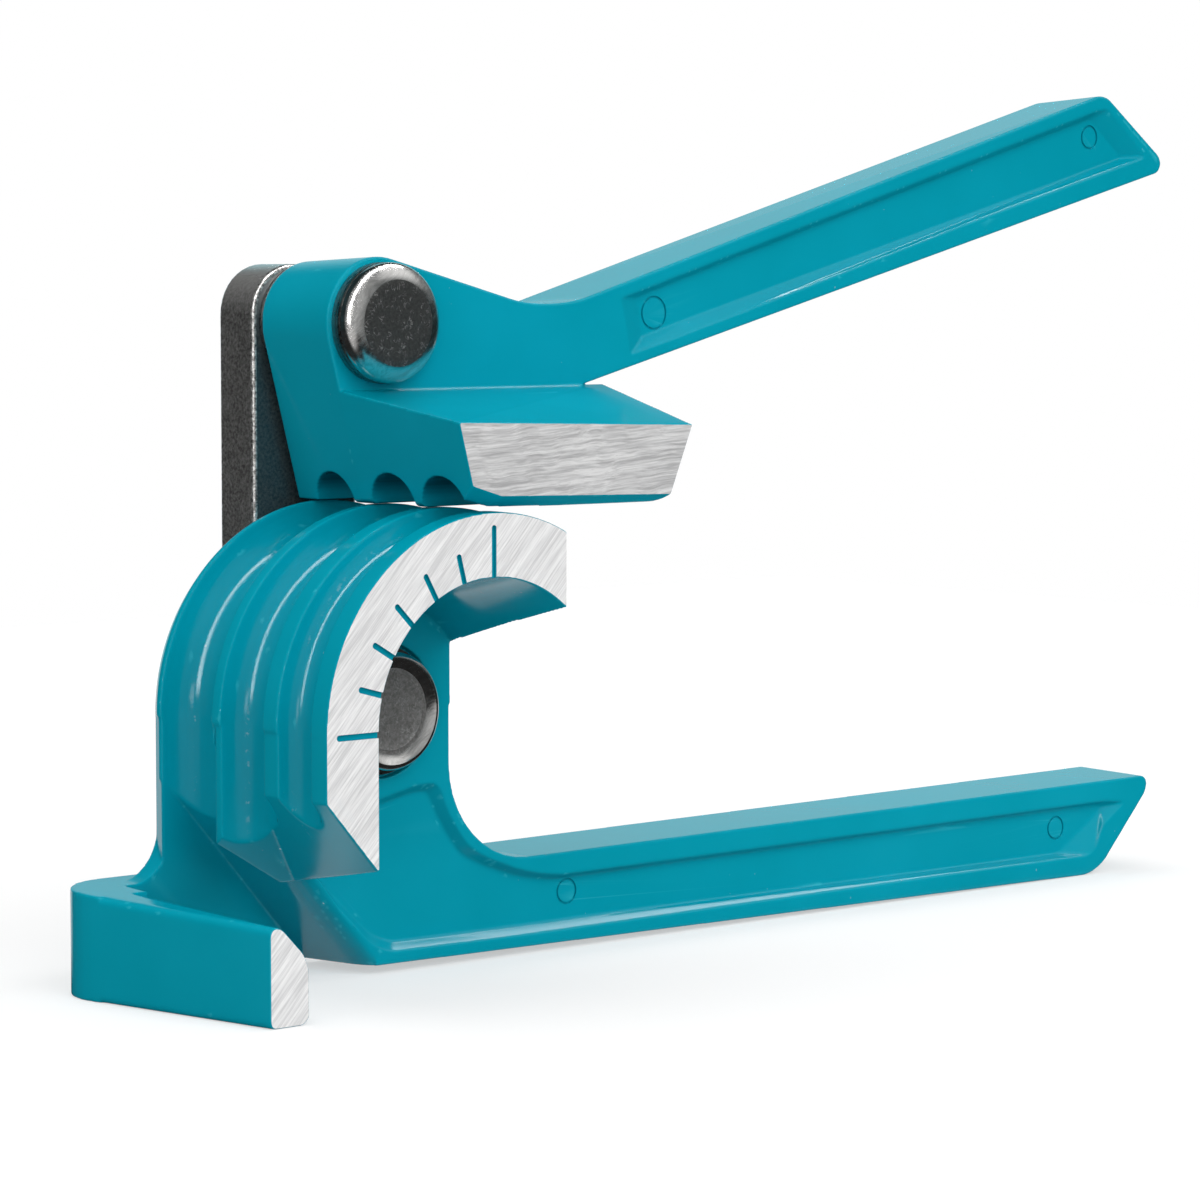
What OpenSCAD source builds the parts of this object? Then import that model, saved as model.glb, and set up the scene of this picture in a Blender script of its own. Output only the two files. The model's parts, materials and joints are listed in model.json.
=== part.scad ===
// Hand tube bender for three tube sizes: a former casting with its hook and lower handle,
// a lever casting with its bending shoe, and a link bar on two riveted pins behind both.
// X runs along the handles, Y away from the ground front faces, Z up from the bench.
// The shapes are drawn round the former's axis at X = Z = 0 and placed by stand().

/* [Tubes] */
// Outside diameter of the tube in the front groove
front_tube_d = 6; // [5:0.5:6]
// Outside diameter of the tube in the middle groove
middle_tube_d = 8; // [7:0.5:8]
// Outside diameter of the tube in the back groove
back_tube_d = 10; // [9:0.5:10]
// Bend radius at the middle of the tube, which is also the radius of the ridges
bend_r = 25; // [24.5:0.5:27]
// Play between a tube and its groove, on the radius
tube_play = 0.1; // [0.05:0.05:0.15]

/* [Former] */
// Width of the ground land in front of the front groove
front_land = 3; // [2.5:0.5:4]
// Width of the land between the front and middle grooves
second_land = 2.8; // [2:0.2:4]
// Width of the land between the middle and back grooves
third_land = 1.8; // [1.4:0.2:3]
// Thickness of the plate behind the grooves
plate_t = 3; // [2.5:0.5:5]
// Taper of the plate's edge from its front to its back
plate_taper = 1.2; // [0.8:0.1:1.6]
// Depth of the web's front face behind the ground faces
web_depth = 21.5; // [20.5:0.5:22.5]
// Radius of the hollow at the ground face
hollow_r = 17.1; // [16:0.1:18]
// Draft of the hollow, the leg's end and the shoe's top, in degrees
draft = 10; // [8:1:11]
// Reach of the former to the right of its axis, at the ground face
mouth_x = 11.4; // [11:0.2:13]
// Draft of the former's right end, in degrees
mouth_draft = 1; // [0.5:0.5:2]
// Reach of the leg below the former's axis, at the ground face
leg_drop = 15.9; // [15:0.1:17]
// Angle below the horizontal at which the leg's slanting facet looks, in degrees
facet_angle = 41.5; // [38:0.5:44]
// Distance of the leg's facet from the axis, at the ground face
facet_off = 23.7; // [23:0.1:24.5]
// Distance of the web's slanting wall from the axis, at the web's front face
wall_off = 22.1; // [21:0.1:23]
// Draft of the facet and of the slanting wall, in degrees
facet_draft = 8; // [6:1:10]
// Depth of the degree marks
mark_depth = 0.4; // [0.2:0.1:0.6]
// Width of the degree marks
mark_w = 0.7; // [0.5:0.1:1]
// Angle between the degree marks
mark_step = 15; // [15]
// Reach of the marks at 0 and 90 degrees from the axis
mark_long_r = 23.5; // [22:0.1:24]
// Reach of the marks between them
mark_short_r = 21; // [20:0.1:22]

/* [Hook] */
// Thickness of the hook at its ground end
hook_t = 5.5; // [5:0.1:7]
// Height of the hook at its ground end
hook_h = 11.6; // [11:0.1:12]
// Rise of the hook's top towards the plate, in degrees
hook_rise = 2; // [1:0.5:3]
// Thickness of the foot that carries the hook, behind the plate
foot_t = 3.1; // [2:0.1:4]
// Distance of the foot's right end from the axis
foot_end = 14; // [12:0.5:16]
// Splay of the hook's outer face, in degrees
hook_splay = 9; // [6:1:10]
// Radius of the hook's back corner
hook_round = 8; // [6:0.5:9]
// Width of the hook's flat top at its ground end
hook_top_w = 1.5; // [1:0.1:2]
// Slope of the bevel inside the hook's top, in degrees
hook_bevel = 46; // [42:1:50]
// Radius between the plate and the hook's top
plate_fillet = 6; // [4:0.5:7]

/* [Lower handle] */
// Height of the former's axis above the bench
axis_h = 32.5; // [32:0.5:36]
// Lift of the handle's root above the bench
root_lift = 1.1; // [0.8:0.1:1.5]
// Height of the handle at its root
handle_root_h = 11.1; // [10.5:0.1:12]
// Height of the handle at its end
handle_end_h = 13.3; // [12:0.1:14]
// Reach of the handle's upper corner from the axis, before it is blunted
handle_reach = 142.8; // [125:0.5:155]
// Slope of the handle's end, in degrees
handle_end_angle = 46.7; // [40:0.5:60]
// Radius in the throat between the web and the handle
throat_r = 14; // [12:0.5:16]
// Amount by which the sharp tips of both handles are blunted
tip_cut = 2; // [1.5:0.1:2.5]
// Draft of the ends of both handles, in degrees
end_draft = 8; // [6:1:10]

/* [Lever] */
// Distance between the two pivot axes
pivot_gap = 47; // [46.5:0.5:50]
// Radius of the lever's boss
boss_r = 8; // [7.9:0.1:9]
// Slope of the boss's left flank from the vertical, in degrees
flank_angle = 15; // [13:1:17]
// Fall of the neck from the boss, in degrees
neck_fall = 14.5; // [12:0.5:16]
// Distance of the valley between neck and arm from the pivot
valley_x = 27.4; // [26:0.2:30]
// Radius in that valley
valley_r = 24; // [18:1:28]
// Rise of the arm's top edge, in degrees
arm_rise = 16.2; // [15.5:0.1:18]
// Rise of the arm's bottom edge, in degrees
arm_bottom_rise = 14.5; // [13.5:0.1:15]
// Place of the arm's top end corner from the pivot, along X
arm_top_x = 130.4; // [115:0.5:140]
// Slope of the arm's end, in degrees
arm_end_angle = 36; // [32:0.5:45]
// Distance from the pivot at which the arm's bottom edge would meet the shoe's top
notch_x = 31.2; // [29:0.2:33]
// Radius in that notch
notch_r = 0.6; // [0.4:0.1:0.8]

/* [Shoe] */
// Gap between the ridges and the shoe
shoe_gap = 0.4; // [0.3:0.05:0.6]
// Height of the shoe's top at its ground face above its bottom
shoe_h = 9.4; // [9:0.1:10]
// Reach of the shoe's right end at the top of its ground face
shoe_reach = 31.8; // [30:0.1:33]
// Slant of the shoe's right end, in degrees from the vertical
shoe_slant = 23; // [18:0.5:25]
// Draft of the shoe's right end, in degrees
shoe_end_draft = 7; // [5:1:9]
// Height of the bevel under the shoe's left end
shoe_bevel_h = 2.8; // [2:0.1:3.2]
// Length of that bevel
shoe_bevel_l = 8.6; // [7:0.1:9]

/* [Panels] */
// Depth of the sunk panels in the handles
panel_depth = 1; // [0.6:0.1:1.5]
// Width of the rim above and below the panels
panel_rim = 2.9; // [2.4:0.1:3.2]
// Distance of the arm's panel from the pivot
arm_panel_x = 40; // [38:0.5:44]
// Distance of the lower panel's arc from the former's axis
panel_boss_r = 11.5; // [11:0.1:12]

/* [Pins, washers and link] */
// Radius of both pins
pin_r = 4; // [3.5:0.1:4.5]
// Running clearance of the pins in the castings, on the radius
pin_play = 0.05; // [0.03:0.01:0.08]
// Clearance of the riveted pins in the link, on the radius
rivet_play = 0.02; // [0.01:0.01:0.03]
// Gap beside each face that turns on another
side_play = 0.05; // [0.03:0.01:0.1]
// Radius of the lever pin's domed head
lever_head_r = 7.3; // [7:0.1:7.8]
// Thickness of the lever pin's head, which is also the radius of its round edge
lever_head_t = 2.2; // [1.8:0.1:2.4]
// Radius of the former pin's head
former_head_r = 7.25; // [7:0.05:7.4]
// Thickness of the former pin's head
former_head_t = 2.7; // [2.2:0.1:3]
// Radius of the seat sunk into the web for the former pin's washer
seat_r = 8.4; // [8.2:0.1:9]
// Depth of that seat
seat_depth = 1; // [0.6:0.1:1.4]
// Thickness of the flat washers
washer_t = 1; // [0.8:0.1:1.2]
// Thickness of the washers under the lever pin's head
head_washer_t = 0.75; // [0.6:0.05:0.9]
// Outer radius of the washers
washer_r = 7.9; // [7:0.1:8.1]
// Outer radius of the washers under the riveted tails
tail_washer_r = 6.6; // [6:0.1:7.5]
// Clearance of the washers round the pins, on the radius
washer_play = 0.1; // [0.05:0.05:0.2]
// Width of the split in the spring washer
split_w = 0.8; // [0.5:0.1:1.2]
// Thickness of the link bar
link_t = 7; // [6:0.5:8]
// Half the width of the link bar
link_half_w = 8; // [7.5:0.1:9]
// Reach of the link bar past each pivot axis
link_end = 7.1; // [6.8:0.1:8]
// Radius of the link bar's corners
link_corner_r = 6.2; // [4:0.1:6.5]
// Thickness of the riveted tails
tail_t = 2; // [1.5:0.1:2.5]
// Radius of the riveted tails
tail_r = 5.4; // [5:0.1:6]

/* [Hidden] */
$fn = 96;
overrun = axis_h;
far = handle_reach;
corner_lap_share = 0.1;
corner_cross_share = 0.0005;

// Grooves as [middle of the groove in depth, radius of the groove]
front_groove_r = front_tube_d / 2 + tube_play;
middle_groove_r = middle_tube_d / 2 + tube_play;
back_groove_r = back_tube_d / 2 + tube_play;
front_groove_y = front_land + front_groove_r;
middle_groove_y = front_groove_y + front_groove_r + second_land + middle_groove_r;
back_groove_y = middle_groove_y + middle_groove_r + third_land + back_groove_r;
GROOVES = [[front_groove_y, front_groove_r], [middle_groove_y, middle_groove_r],
    [back_groove_y, back_groove_r]];
plate_front = back_groove_y + back_groove_r;
body_depth = plate_front + plate_t;
floor_r = hollow_r - web_depth * tan(draft);

// Levels of the lower casting, from the former's axis
ground_z = -axis_h;
root_z = ground_z + root_lift;
handle_top_z = root_z + handle_root_h;
handle_end_z = ground_z + handle_end_h;
hook_top_z = ground_z + hook_h;
foot_top_z = hook_top_z + plate_front * tan(hook_rise);
throat_x = mouth_x - body_depth * tan(mouth_draft);
root_corner_x = (axis_h * sin(facet_angle) - root_lift * sin(facet_angle) - wall_off)
    / cos(facet_angle);
end_foot_x = handle_reach - handle_end_h / tan(handle_end_angle);
handle_rise = atan((handle_end_z - handle_top_z) / (handle_reach - throat_x));

// The hook's inner face just clears the front and back tubes, and the middle one between them
hook_slope = (back_groove_r - front_groove_r) / (back_groove_y - front_groove_y);
function hook_inner_x(y) = -bend_r - front_groove_r - tube_play - hook_slope * (y - front_groove_y);
hook_front_x = hook_inner_x(0) - hook_t;
foot_back = body_depth + foot_t;
hook_back_x = hook_front_x - foot_back * tan(hook_splay);
hook_left_x = hook_front_x - (foot_back - hook_round) * tan(hook_splay)
    + hook_round / cos(hook_splay) - hook_round;

// Places of the lever, at rest
shoe_z = bend_r + shoe_gap;
shoe_face_top_z = shoe_z + shoe_h;
shoe_back_top_z = shoe_face_top_z + web_depth * tan(draft);
function flank_x(z) = -boss_r * cos(flank_angle)
    + (pivot_gap - boss_r * sin(flank_angle) - z) * tan(flank_angle);
neck_start = [boss_r * sin(neck_fall), pivot_gap + boss_r * cos(neck_fall)];
valley = [valley_x, neck_start[1] - (valley_x - neck_start[0]) * tan(neck_fall)];
arm_top = [arm_top_x, valley[1] + (arm_top_x - valley_x) * tan(arm_rise)];
notch = [notch_x, shoe_back_top_z];
arm_tip_x = (arm_top[1] + arm_top_x * tan(arm_end_angle) - notch[1]
    + notch_x * tan(arm_bottom_rise)) / (tan(arm_end_angle) + tan(arm_bottom_rise));
arm_tip = [arm_tip_x, notch[1] + (arm_tip_x - notch_x) * tan(arm_bottom_rise)];
end_lean = (body_depth - web_depth) * tan(end_draft);
tool_right_x = arm_tip_x - tip_cut + end_lean;

// Stations of the pins and the link, in depth
link_front = body_depth + side_play + washer_t;
link_back = link_front + link_t;
tail_front = link_back + washer_t;
tool_depth = tail_front + tail_t;
lever_washer_front = web_depth - side_play - head_washer_t;
lever_head_back = lever_washer_front - head_washer_t;
seat_y = web_depth + seat_depth;
former_head_back = seat_y - side_play - washer_t;

// Colours
TEAL = [0.01, 0.60, 0.69];
DARK_STEEL = [0.29, 0.29, 0.28];
STEEL = [0.66, 0.65, 0.64];

// Puts the drawn shapes on the bench, with the middle of the tool over the origin
module stand()
    translate([-(tool_right_x + hook_left_x) / 2, -tool_depth / 2, axis_h]) children();

// Extrudes a front view from depth y0 to depth y1
module slab(y0, y1)
    translate([0, y1, 0]) rotate([90, 0, 0]) linear_extrude(y1 - y0) children();

// Turns a profile of [radius, depth] round the former's axis
module turned() rotate([-90, 0, 0]) rotate_extrude() children();

// Round bar across the tool from depth y0 to depth y1
module across(y0, y1, r)
    translate([0, y0, 0]) rotate([-90, 0, 0]) cylinder(h = y1 - y0, r = r);

// Ring across the tool
module ring(y0, y1, r_out, r_in)
    difference() {
        across(y0, y1, r_out);
        across(y0 - overrun, y1 + overrun, r_in);
    }

// Area between a corner at v and the round of radius r that both its edges touch;
// it fills an inner corner when it is added and rounds an outer one when it is cut.
// The area reaches past both edges and the round just crosses them, so they merge cleanly
module corner(v, edge_1, edge_2, r) {
    half = abs(edge_2 - edge_1) / 2;
    mid = (edge_1 + edge_2) / 2;
    run = r / tan(half);
    centre = v + r / sin(half) * [cos(mid), sin(mid)];
    function past(point) = centre + (1 + corner_lap_share) * (point - centre);
    difference() {
        polygon([past(v), past(v + run * [cos(edge_1), sin(edge_1)]), centre,
            past(v + run * [cos(edge_2), sin(edge_2)])]);
        translate(centre) circle(r = r * (1 + corner_cross_share));
    }
}

// Everything beyond a wall that looks along the angle below -X, leans out with depth
// by the draft and stands off from the axis at depth y0
module beyond(angle, off, wall_draft, y0)
    rotate([0, 180 - angle, 0]) translate([off, y0, 0]) rotate([0, 0, -wall_draft])
        translate([0, -far, -far]) cube([far, 2 * far, 2 * far]);

// Block over a range of depth, for cutting or keeping
module depth_block(y0, y1) translate([-far, y0, -far]) cube([2 * far, y1 - y0, 2 * far]);

// Section of the former: web, rim with its three grooves, and plate
module former_section()
    difference() {
        polygon([[0, web_depth], [floor_r, web_depth], [hollow_r, 0], [bend_r, 0],
            [bend_r, plate_front], [bend_r - plate_taper, body_depth], [0, body_depth]]);
        for (groove = GROOVES) translate([bend_r, groove[0]]) circle(r = groove[1]);
    }

// Upper arch of the former, cut off upright on the right
module former_arch()
    difference() {
        turned() former_section();
        translate([-far, -overrun, -far]) cube([2 * far, body_depth + 2 * overrun, far]);
        beyond(180, mouth_x, -mouth_draft, 0);
    }

// Left side below the axis: the short leg with its facet, and the web and plate behind it
module former_leg()
    difference() {
        translate([0, 0, root_z]) linear_extrude(-root_z) mirror([1, 0]) former_section();
        intersection() {
            union() {
                beyond(facet_angle, facet_off, facet_draft, 0);
                beyond(90, leg_drop, draft, 0);
            }
            depth_block(-overrun, web_depth);
        }
        intersection() {
            beyond(facet_angle, wall_off, facet_draft, web_depth);
            depth_block(web_depth, plate_front);
        }
    }

// Front view of the web on the right of the axis and of the lower handle, with its end square
module handle_outline() {
    lap_x = root_corner_x / 2;
    polygon([[lap_x, 0], [throat_x, 0], [throat_x, handle_top_z], [handle_reach, handle_end_z],
        [handle_reach + far, handle_end_z], [handle_reach + far, ground_z],
        [end_foot_x, ground_z], [lap_x, root_z]]);
    corner([throat_x, handle_top_z], 90, handle_rise, throat_r);
}

// The web and the lower handle, with the drafted end and blunted tip
module handle_bar()
    difference() {
        slab(web_depth, body_depth) handle_outline();
        translate([handle_reach, 0, handle_end_z])
            beyond(90 + handle_end_angle, 0, end_draft, web_depth);
        translate([handle_reach - tip_cut, 0, 0]) beyond(180, 0, end_draft, web_depth);
    }

// Front view of the sunk panel in the web and the lower handle
module lower_panel_outline() {
    left = wall_off - panel_rim;
    difference() {
        polygon([[-left * cos(facet_angle), -left * sin(facet_angle)],
            [throat_x - panel_rim, -panel_boss_r], [throat_x + throat_r, handle_top_z - panel_rim],
            [handle_reach - 2 * panel_rim, handle_end_z - panel_rim],
            [end_foot_x - panel_rim / 2, ground_z + panel_rim],
            [root_corner_x + panel_rim / 2, root_z + panel_rim]]);
        circle(r = panel_boss_r);
    }
}

// The hook bar seen from above, with the foot of the plate that it grows from
module hook_plan()
    difference() {
        polygon([[hook_front_x, 0], [hook_back_x, foot_back], [-foot_end - foot_t, foot_back],
            [-foot_end, body_depth], [-foot_end, plate_front],
            [hook_inner_x(plate_front), plate_front], [hook_inner_x(0), 0]]);
        corner([hook_back_x, foot_back], -90 + hook_splay, 0, hook_round);
    }

// The hook and its foot, with the rise of its top and the bevel inside it
module hook()
    difference() {
        translate([0, 0, ground_z]) linear_extrude(2 * hook_h) hook_plan();
        translate([0, 0, hook_top_z]) rotate([hook_rise, 0, 0])
            translate([-far, -overrun, 0]) cube([2 * far, far, far]);
        intersection() {
            translate([hook_front_x + hook_top_w, 0, hook_top_z]) rotate([0, hook_bevel, 0])
                translate([-far, -far, 0]) cube(2 * far);
            depth_block(-overrun, plate_front);
        }
    }

// Marks every 15 degrees over the quarter from 9 to 12 o'clock
module degree_marks()
    for (angle = [0:mark_step:90]) {
        reach = angle % 90 == 0 ? mark_long_r : mark_short_r;
        rotate([0, angle, 0]) translate([-reach, -overrun, -mark_w / 2])
            cube([reach - hollow_r + mark_w, overrun + mark_depth, mark_w]);
        rotate([0, angle, 0]) translate([-reach, 0, 0])
            across(-overrun, mark_depth, mark_w / 2);
    }

module former_body()
    color(TEAL) stand() difference() {
        union() {
            former_arch();
            former_leg();
            handle_bar();
            slab(plate_front, body_depth)
                corner([-bend_r + plate_taper, foot_top_z], 90, 180, plate_fillet);
            hook();
        }
        degree_marks();
        slab(web_depth - overrun, web_depth + panel_depth) lower_panel_outline();
        across(web_depth - overrun, seat_y, seat_r);
        across(web_depth, body_depth + overrun, pin_r + pin_play);
    }

// Front view of the lever: boss, neck and arm
module lever_outline() {
    flank_top_z = pivot_gap - boss_r * sin(flank_angle);
    translate([0, pivot_gap]) circle(r = boss_r);
    polygon([[flank_x(flank_top_z), flank_top_z], [flank_x(shoe_face_top_z), shoe_face_top_z],
        [notch_x, shoe_face_top_z], notch,
        arm_tip + far * [cos(arm_bottom_rise), sin(arm_bottom_rise)],
        arm_top + far * [cos(arm_rise), sin(arm_rise)], valley, neck_start, [0, pivot_gap]]);
    corner(valley, arm_rise, 180 - neck_fall, valley_r);
    corner(notch, 0, arm_bottom_rise, notch_r);
}

// The boss, neck and arm, with the drafted end and blunted tip
module lever_arm()
    difference() {
        slab(web_depth, body_depth) lever_outline();
        translate([arm_top[0], 0, arm_top[1]])
            beyond(270 - arm_end_angle, 0, end_draft, web_depth);
        translate([arm_tip[0] - tip_cut, 0, 0]) beyond(180, 0, end_draft, web_depth);
    }

// Front view of the bending shoe
module shoe_outline()
    polygon([[flank_x(shoe_back_top_z), shoe_back_top_z],
        [flank_x(shoe_z + shoe_bevel_h), shoe_z + shoe_bevel_h],
        [flank_x(shoe_z) + shoe_bevel_l, shoe_z], [far, shoe_z], [far, shoe_back_top_z]]);

// The bending shoe with its sloping top and end and its three half-round grooves
module shoe()
    difference() {
        slab(0, body_depth) shoe_outline();
        intersection() {
            translate([0, 0, shoe_face_top_z]) rotate([draft, 0, 0])
                translate([-far, -overrun, 0]) cube([2 * far, far, far]);
            depth_block(-overrun, web_depth);
        }
        translate([shoe_reach, 0, shoe_face_top_z]) rotate([0, shoe_slant, 0])
            rotate([0, 0, -shoe_end_draft]) translate([0, -far, -far]) cube(2 * far);
        for (groove = GROOVES)
            translate([-far, groove[0], bend_r]) rotate([0, 90, 0])
                cylinder(h = 2 * far, r = groove[1]);
    }

// Front view of the sunk panel in the arm
module arm_panel_outline() {
    top_drop = panel_rim / cos(arm_rise);
    bottom_lift = panel_rim / cos(arm_bottom_rise);
    function top_z(x) = valley[1] + (x - valley_x) * tan(arm_rise) - top_drop;
    function bottom_z(x) = notch[1] + (x - notch_x) * tan(arm_bottom_rise) + bottom_lift;
    polygon([[arm_panel_x, top_z(arm_panel_x)],
        [arm_top_x - panel_rim / 2, top_z(arm_top_x - panel_rim / 2)],
        [arm_tip_x - 2 * panel_rim, bottom_z(arm_tip_x - 2 * panel_rim)],
        [arm_panel_x + panel_rim / 2, bottom_z(arm_panel_x + panel_rim / 2)]]);
}

module lever_handle()
    color(TEAL) stand() difference() {
        union() {
            lever_arm();
            shoe();
        }
        slab(web_depth - overrun, web_depth + panel_depth) arm_panel_outline();
        translate([0, 0, pivot_gap]) across(-overrun, body_depth + overrun, pin_r + pin_play);
    }

// Front view of the link bar
module link_outline()
    difference() {
        translate([-link_half_w, -link_end]) square([2 * link_half_w, pivot_gap + 2 * link_end]);
        for (side = [0, 1]) mirror([side, 0]) {
            corner([link_half_w, -link_end], 90, 180, link_corner_r);
            corner([link_half_w, pivot_gap + link_end], 180, 270, link_corner_r);
        }
    }

// Dark steel bar behind both castings
module link_bar()
    color(DARK_STEEL) stand() difference() {
        slab(link_front, link_back) link_outline();
        across(link_front - overrun, link_back + overrun, pin_r + rivet_play);
        translate([0, 0, pivot_gap])
            across(link_front - overrun, link_back + overrun, pin_r + rivet_play);
    }

// Section of a pin as [radius, depth]: a head from its given profile, the shank and the tail
module pin_section(head_points, head_back)
    polygon(concat(head_points, [[pin_r, head_back], [pin_r, tail_front], [tail_r, tail_front],
        [tail_r, tail_front + tail_t / 2], [pin_r, tool_depth], [0, tool_depth]]));

// Upper pin with its domed head, flattened in the middle
module lever_pin()
    color(STEEL) stand() translate([0, 0, pivot_gap]) turned() difference() {
        pin_section([[0, lever_head_back - lever_head_t],
            [lever_head_r, lever_head_back - lever_head_t],
            [lever_head_r, lever_head_back]], lever_head_back);
        corner([lever_head_r, lever_head_back - lever_head_t], 90, 180, lever_head_t);
    }

// Lower pin with its wide flat head
module former_pin()
    color(STEEL) stand() turned()
        pin_section([[0, former_head_back - former_head_t],
            [former_head_r - washer_play, former_head_back - former_head_t],
            [former_head_r, former_head_back - former_head_t + washer_play],
            [former_head_r, former_head_back]], former_head_back);

module lever_head_washer()
    color(DARK_STEEL) stand() translate([0, 0, pivot_gap])
        ring(lever_head_back, lever_washer_front, lever_head_r, pin_r + washer_play);

module lever_spring_washer()
    color(DARK_STEEL) stand() translate([0, 0, pivot_gap]) difference() {
        ring(lever_washer_front, web_depth - side_play, lever_head_r, pin_r + washer_play);
        translate([0, 0, -split_w / 2]) cube([overrun, overrun, split_w]);
    }

module lever_thrust_washer()
    color(STEEL) stand() translate([0, 0, pivot_gap])
        ring(body_depth + side_play, link_front, washer_r, pin_r + washer_play);

module lever_tail_washer()
    color(STEEL) stand() translate([0, 0, pivot_gap])
        ring(link_back, tail_front, tail_washer_r, pin_r + washer_play);

module former_head_washer()
    color(STEEL) stand() ring(former_head_back, seat_y - side_play, washer_r, pin_r + washer_play);

module former_thrust_washer()
    color(STEEL) stand() ring(body_depth + side_play, link_front, washer_r, pin_r + washer_play);

module former_tail_washer()
    color(STEEL) stand() ring(link_back, tail_front, tail_washer_r, pin_r + washer_play);

former_body();
lever_handle();
link_bar();
lever_pin();
lever_head_washer();
lever_spring_washer();
lever_thrust_washer();
lever_tail_washer();
former_pin();
former_head_washer();
former_thrust_washer();
former_tail_washer();
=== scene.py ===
"""Scene of a small tube bender: two teal die castings, ground bare on their front faces,
and a dark steel link bar on two riveted pins.

Shapes are drawn in millimetres round the former's axis, X right along the handles, Y back
from the ground faces and Z up, and are put into the frame's metres when they are done. A
corner of an outline has two numbers, and a third where the corner is rounded off.
"""
import json
import math

import bmesh
import bpy
from mathutils import Matrix, Vector


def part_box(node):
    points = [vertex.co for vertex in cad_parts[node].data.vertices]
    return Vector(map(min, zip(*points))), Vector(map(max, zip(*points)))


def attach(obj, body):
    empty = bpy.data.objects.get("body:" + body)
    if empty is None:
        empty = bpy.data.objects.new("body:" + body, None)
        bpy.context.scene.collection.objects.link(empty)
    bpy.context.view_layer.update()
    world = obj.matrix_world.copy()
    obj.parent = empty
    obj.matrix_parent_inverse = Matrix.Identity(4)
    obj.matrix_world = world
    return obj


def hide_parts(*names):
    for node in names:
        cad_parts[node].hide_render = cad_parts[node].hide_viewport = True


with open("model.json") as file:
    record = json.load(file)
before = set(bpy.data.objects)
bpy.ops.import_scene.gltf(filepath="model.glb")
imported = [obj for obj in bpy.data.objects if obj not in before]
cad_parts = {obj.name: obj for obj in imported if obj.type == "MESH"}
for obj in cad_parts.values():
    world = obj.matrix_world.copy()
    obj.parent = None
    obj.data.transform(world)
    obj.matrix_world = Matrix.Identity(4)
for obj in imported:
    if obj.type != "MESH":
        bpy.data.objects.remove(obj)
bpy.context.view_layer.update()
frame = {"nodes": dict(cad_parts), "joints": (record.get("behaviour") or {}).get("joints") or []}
scene = bpy.context.scene

MM = 0.001
swing = next(joint for joint in frame["joints"] if joint["name"] == "link_swing")
former_axis = Vector((swing["pos_m"][0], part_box("former_body")[0].y, swing["pos_m"][2]))
TO_FRAME = Matrix.Translation(former_axis) @ Matrix.Scale(MM, 4)

# Levels and sizes that several shapes share
PIVOT_Z = 47.0
GROUND_Z = -32.5
ROOT_Z = -31.4
WEB_Y = 21.5
PLATE_Y = 32.2
BACK_Y = 35.2
FOOT_Y = 38.3
LINK_Y = 36.25
LINK_BACK_Y = 43.25
BORE_R = 4.25
HANDLE_END_X = 120
HANDLE_LEAN = 1.925
PANEL_DEPTH = 1.3

# Stock left for the grinder, softening of a casting's edges, and share of its faces kept
STOCK_Y = -0.07
SOFTENING = 14
SKIN_DEPTH = 10
SKIN_SCALE = 0.95
FORMER_KEPT = 0.15
LEVER_KEPT = 0.155

# Former, with its grooves as depth and radius
RIDGE_R = 25.0
CROWN_R = 25.2
CROWN_Y = 10
CROWN_BACK_Y = 32.9
BACK_R = 23.8
HOLLOW_R = 17.36
HOLLOW_BACK_R = 13.31
ARCH_END_X = 11.4
ARCH_END_DRAFT = 1.0
ARCH_END_CUT = [(11.27, -1), (10.62, 36), (14, 36), (14, -1)]
LAP_Z = 0.3
GROOVES = ((6.1, 3.1), (16.1, 4.1), (27.1, 5.1))
GROOVE_RUN = 20.2
LAP_RUN = 0.2
HEAD_SEAT_R = 8.4

# The former's leg, the web's slanting left wall, and the back plate's fillet
FACET_ANGLE = math.radians(41.5)
FACET = Vector((-math.cos(FACET_ANGLE), 0.0, -math.sin(FACET_ANGLE)))
LEG_FACET_R = 23.7
LEG_BACK_Y = 23
LEG_END_Z = -15.9
LEG_DRAFT = 10
GUSSET_POINT = (-RIDGE_R, 20.2, -13.2)
GUSSET_SLANT = (-0.42, -0.56, -0.71)
WALL_POINT = FACET * 22.1 + Vector((0, WEB_Y, 0))
WALL_CORNER = WALL_POINT + Vector((8, 0, -9))
WALL_CORNER_R = 3.6
WALL_BACK_Y = 33
WALL_DRAFT = 8
FILLET = [(-BACK_R, -13), (-BACK_R, -20, 6.4), (-31.5, -20), (-31.5, -23), (-21, -23), (-21, -13)]

# Lower handle, and the panel sunk into it and into the web
LOWER_BAR = [
    (-0.86, LAP_Z), (10.79, LAP_Z), (10.79, -20.3, 13), (140.8, -19.2, 1.2),
    (140.8, -21.33, 1.0), (130.27, GROUND_Z, 3.0), (-0.86, ROOT_Z),
]
LOWER_MOUTH = [
    (-13.3, -15.3), (-9.0, -12.3, 2), (-0.5, -11.0, 3), (6.2, -9.5, 1.6), (9.2, -9.7, 1.4),
    (11.1, -14.9, 4), (15.0, -18.9, 3.5), (25.5, -23.0, 5), (132.1, -22.2),
    (136.0, -22.7, 0.5), (129.2, -29.7, 0.8), (25.5, -30.1), (-0.5, -29.9, 3), (-9.2, -20.3),
]
LOWER_FLOOR = [
    (-12.6, -15.9), (-8.7, -13.2, 2), (-0.3, -12.0, 3), (5.9, -10.6, 1.6), (8.1, -10.7, 1.4),
    (10.2, -15.4, 4), (14.0, -19.6, 3.5), (25.5, -23.7, 5), (131.0, -22.8),
    (132.6, -23.1, 0.5), (122.9, -29.1, 0.8), (25.5, -28.9), (0.4, -28.8, 3), (-8.3, -20.6),
]

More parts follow.
